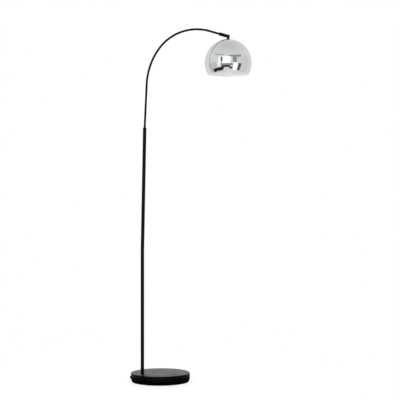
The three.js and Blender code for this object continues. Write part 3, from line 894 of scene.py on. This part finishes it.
for side, sign in (("left", 1), ("right", -1)):
    inward = knuckle_place @ Matrix.Rotation(sign * pi / 2, 4, "X")  # Z points from the head to the middle
    screw_place = inward @ at(0, 0, -(SCREW_FLOOR + 0.1))
    pivot_screw = screw_with_slot("pivot_screw_" + side, 1.5, SCREW_FLOOR - 2.1, 2.75, 1.3, screw_place)
    dress(pivot_screw, "knuckle_screw_" + side)
    washer = rod("washer_" + side, 4, -FORK_INSIDE + 0.1, -3.4, inward, edge=0.12, bore=1.75)
    dress(washer, "friction_washer_" + side)

# ---------------------------------------------------------------- head

head = at(*pivot)
STEM_RADIUS = 7.2
STEM_TOP = -8.9
STEM_SEAT = -11.4
STEM_BOTTOM = -26.6
THREAD = 4.9
stem_outline = [
    (0, STEM_BOTTOM),
    (THREAD - 0.5, STEM_BOTTOM),
    (THREAD, STEM_BOTTOM + 0.5),
    (THREAD, STEM_SEAT),
    (STEM_RADIUS, STEM_SEAT),
    (STEM_RADIUS, STEM_TOP - 0.6),
    (STEM_RADIUS - 0.6, STEM_TOP),
    (0, STEM_TOP),
]
EAR_RADIUS = 5
EAR_INSIDE = 1.6
EAR_OUTSIDE = 3.3


def ear(sign):
    """One of the stem's two ears: a plate with a round top, on the collar."""
    near, far = sorted((sign * EAR_INSIDE, sign * EAR_OUTSIDE))
    rim = [(EAR_RADIUS * cos(a * pi / 24), EAR_RADIUS * sin(a * pi / 24)) for a in range(25)]
    corners = rim + [(-EAR_RADIUS, STEM_TOP - 0.8), (EAR_RADIUS, STEM_TOP - 0.8)]
    count = len(corners)
    vertices = [(x, y, z) for y in (near, far) for x, z in corners]
    faces = [tuple(range(count)), tuple(range(count, 2 * count))]
    faces += [(i, (i + 1) % count, count + (i + 1) % count, count + i) for i in range(count)]
    return new_object("ear", vertices, faces, head)


stem = join(lathe("stem", rounded(stem_outline, 0.25), head, segments=96), ear(1), ear(-1))
cut(stem, rod("hole", 1.6, STEM_BOTTOM - 1, 0, head), rod("hole", PIVOT_HOLE, -9, 9, head @ across))
dress(stem, "shade_stem")

shade_low, shade_high = box_mm("shade")
SHADE_RADIUS = 100.0
SHADE_WALL = 0.8
SHADE_HOLE = 5.3
shade_centre = shade_high.z - sqrt(SHADE_RADIUS**2 - SHADE_HOLE**2) - pivot.z
rim_drop = shade_centre - (shade_low.z - pivot.z)
top_angle = SHADE_HOLE / SHADE_RADIUS
rim_angle = acos(-rim_drop / SHADE_RADIUS)
SHADE_STEPS = 90
ball_outside = arc_points(SHADE_RADIUS, shade_centre, top_angle, rim_angle, SHADE_STEPS)
ball_inside = arc_points(SHADE_RADIUS - SHADE_WALL, shade_centre, top_angle, rim_angle - 0.006, SHADE_STEPS)
rim_radius, rim_height = ball_outside[-1]
hem = [(rim_radius - 0.25, rim_height - 0.12), (rim_radius - 0.7, rim_height - 0.1)]
shade = lathe("ball_shade", ball_outside + hem + ball_inside[::-1], head, segments=192)
dress(shade, "shade")
shade.data.materials.append(enamel)
ball_centre = Vector((pivot.x, pivot.y, pivot.z + shade_centre)) * MM
for face in shade.data.polygons:
    from_centre = (face.center - ball_centre).length / MM
    if from_centre < SHADE_RADIUS - SHADE_WALL * 0.55:
        face.material_index = 1

washer_low, washer_high = box_mm("shade_washer")
washer = rod(
    "seat_washer", 10.5, washer_low.z - pivot.z, washer_high.z - pivot.z + 0.15, head,
    edge=0.15, segments=72, bore=5.1,
)
dress(washer, "shade_washer")
nut_low, nut_high = box_mm("shade_nut")
nut = hex_prism("seat_nut", 17, nut_low.z - pivot.z, nut_high.z - pivot.z + 0.15, head)
dress(cut(nut, rod("hole", 5.05, -40, 0, head)), "shade_nut")

# ---------------------------------------------------------------- lampholder

cap_low, cap_high = box_mm("lampholder_cap")
body_low = box_mm("lampholder_body")[0]
CAP_TOP = cap_high.z - pivot.z
HOLDER_JOINT = cap_low.z - pivot.z
HOLDER_BOTTOM = body_low.z - pivot.z
HOLDER_RADIUS = 19.5
HOLDER_INSIDE = 17.5
RIBS = 40


def ribbed(radius, height, angle):
    """Grip ribs round the lower part of the body's outer wall."""
    ribs_top, ribs_bottom = HOLDER_JOINT - 9, HOLDER_BOTTOM + 3
    if radius < HOLDER_RADIUS - 0.6 or not ribs_bottom < height < ribs_top:
        return radius
    return radius - 0.55 * (0.5 + 0.5 * cos(RIBS * angle)) ** 2


cap_outline = [
    (5.15, CAP_TOP),
    (8, CAP_TOP),
    (10, CAP_TOP - 4),
    (17.5, CAP_TOP - 8),
    (HOLDER_RADIUS, CAP_TOP - 11),
    (HOLDER_RADIUS, HOLDER_JOINT),
    (HOLDER_INSIDE, HOLDER_JOINT),
    (HOLDER_INSIDE, CAP_TOP - 12),
    (9, CAP_TOP - 6.5),
    (5.15, CAP_TOP - 6.5),
]
dress(lathe("holder_cap", rounded(cap_outline, 1.0, steps=5), head, segments=128), "lampholder_cap")
wall_heights = [HOLDER_JOINT - 0.1 - (HOLDER_JOINT - HOLDER_BOTTOM) * i / 40 for i in range(1, 40)]
body_outline = (
    [(HOLDER_INSIDE, HOLDER_BOTTOM), (HOLDER_RADIUS - 0.6, HOLDER_BOTTOM)]
    + [(HOLDER_RADIUS, HOLDER_BOTTOM + 0.6)]
    + [(HOLDER_RADIUS, z) for z in wall_heights[::-1] if z > HOLDER_BOTTOM + 0.8]
    + [(HOLDER_RADIUS, HOLDER_JOINT - 0.4), (HOLDER_RADIUS - 0.3, HOLDER_JOINT - 0.1)]
    + [(HOLDER_INSIDE, HOLDER_JOINT - 0.1)]
)
holder_body = lathe("holder_body", body_outline, head, segments=RIBS * 8, radius_at=ribbed)
dress(holder_body, "lampholder_body")

# ---------------------------------------------------------------- bulb

bulb_cap_low, bulb_cap_high = box_mm("bulb_cap")
BULB_TOP = bulb_cap_high.z - pivot.z
BULB_CAP_RADIUS = 13.2
THREAD_PITCH = 3.6
CAP_BOTTOM = bulb_cap_low.z - pivot.z


def screw_thread(radius, height, angle):
    """A rounded Edison thread on the straight part of the cap."""
    start, end = BULB_TOP - 7, CAP_BOTTOM + 3
    if radius < BULB_CAP_RADIUS - 0.1 or not end < height < start:
        return radius
    fade = min(1.0, (start - height) / 2, (height - end) / 2)
    return radius - 0.45 * fade * (1 + cos(2 * pi * height / THREAD_PITCH - angle))


thread_heights = [BULB_TOP - 6 - 0.3 * i for i in range(int((BULB_TOP - 6 - CAP_BOTTOM) / 0.3))]
bulb_cap_outline = (
    [(0, BULB_TOP), (3.5, BULB_TOP), (4.5, BULB_TOP - 1.5), (10.2, BULB_TOP - 3.5), (12.6, BULB_TOP - 4.6)]
    + [(BULB_CAP_RADIUS, z) for z in thread_heights]
    + [(BULB_CAP_RADIUS, CAP_BOTTOM), (0, CAP_BOTTOM)]
)
dress(lathe("edison_cap", bulb_cap_outline, head, segments=96, radius_at=screw_thread), "bulb_cap")

globe_low = box_mm("bulb_globe")[0]
GLOBE_RADIUS = 22.5
globe_bottom = globe_low.z - pivot.z
globe_centre = globe_bottom + GLOBE_RADIUS
GLOBE_EDGE = 1.2
edge_radius = GLOBE_RADIUS * sin(GLOBE_EDGE)
edge_height = globe_centre + GLOBE_RADIUS * cos(GLOBE_EDGE)
globe_inside = arc_points(GLOBE_RADIUS - 1, globe_centre, pi, GLOBE_EDGE, 48)
globe_outside = arc_points(GLOBE_RADIUS, globe_centre, GLOBE_EDGE, pi, 48)
dress(lathe("opal_bulb", globe_inside + globe_outside, head, segments=128), "bulb_globe")
housing_outline = [
    (0, CAP_BOTTOM - 0.1),
    (BULB_CAP_RADIUS + 0.8, CAP_BOTTOM - 0.1),
    (BULB_CAP_RADIUS + 1.1, CAP_BOTTOM - 3),
    (BULB_CAP_RADIUS + 2.5, CAP_BOTTOM - 8),
    (edge_radius - 0.8, edge_height + 2.5),
    (edge_radius, edge_height + 0.1),
    (edge_radius - 1.5, edge_height + 0.1),
    (edge_radius - 2.2, edge_height + 4),
    (0, edge_height + 4),
]
dress(lathe("bulb_neck", rounded(housing_outline, 1.2, steps=5), head, segments=128), "bulb_housing")
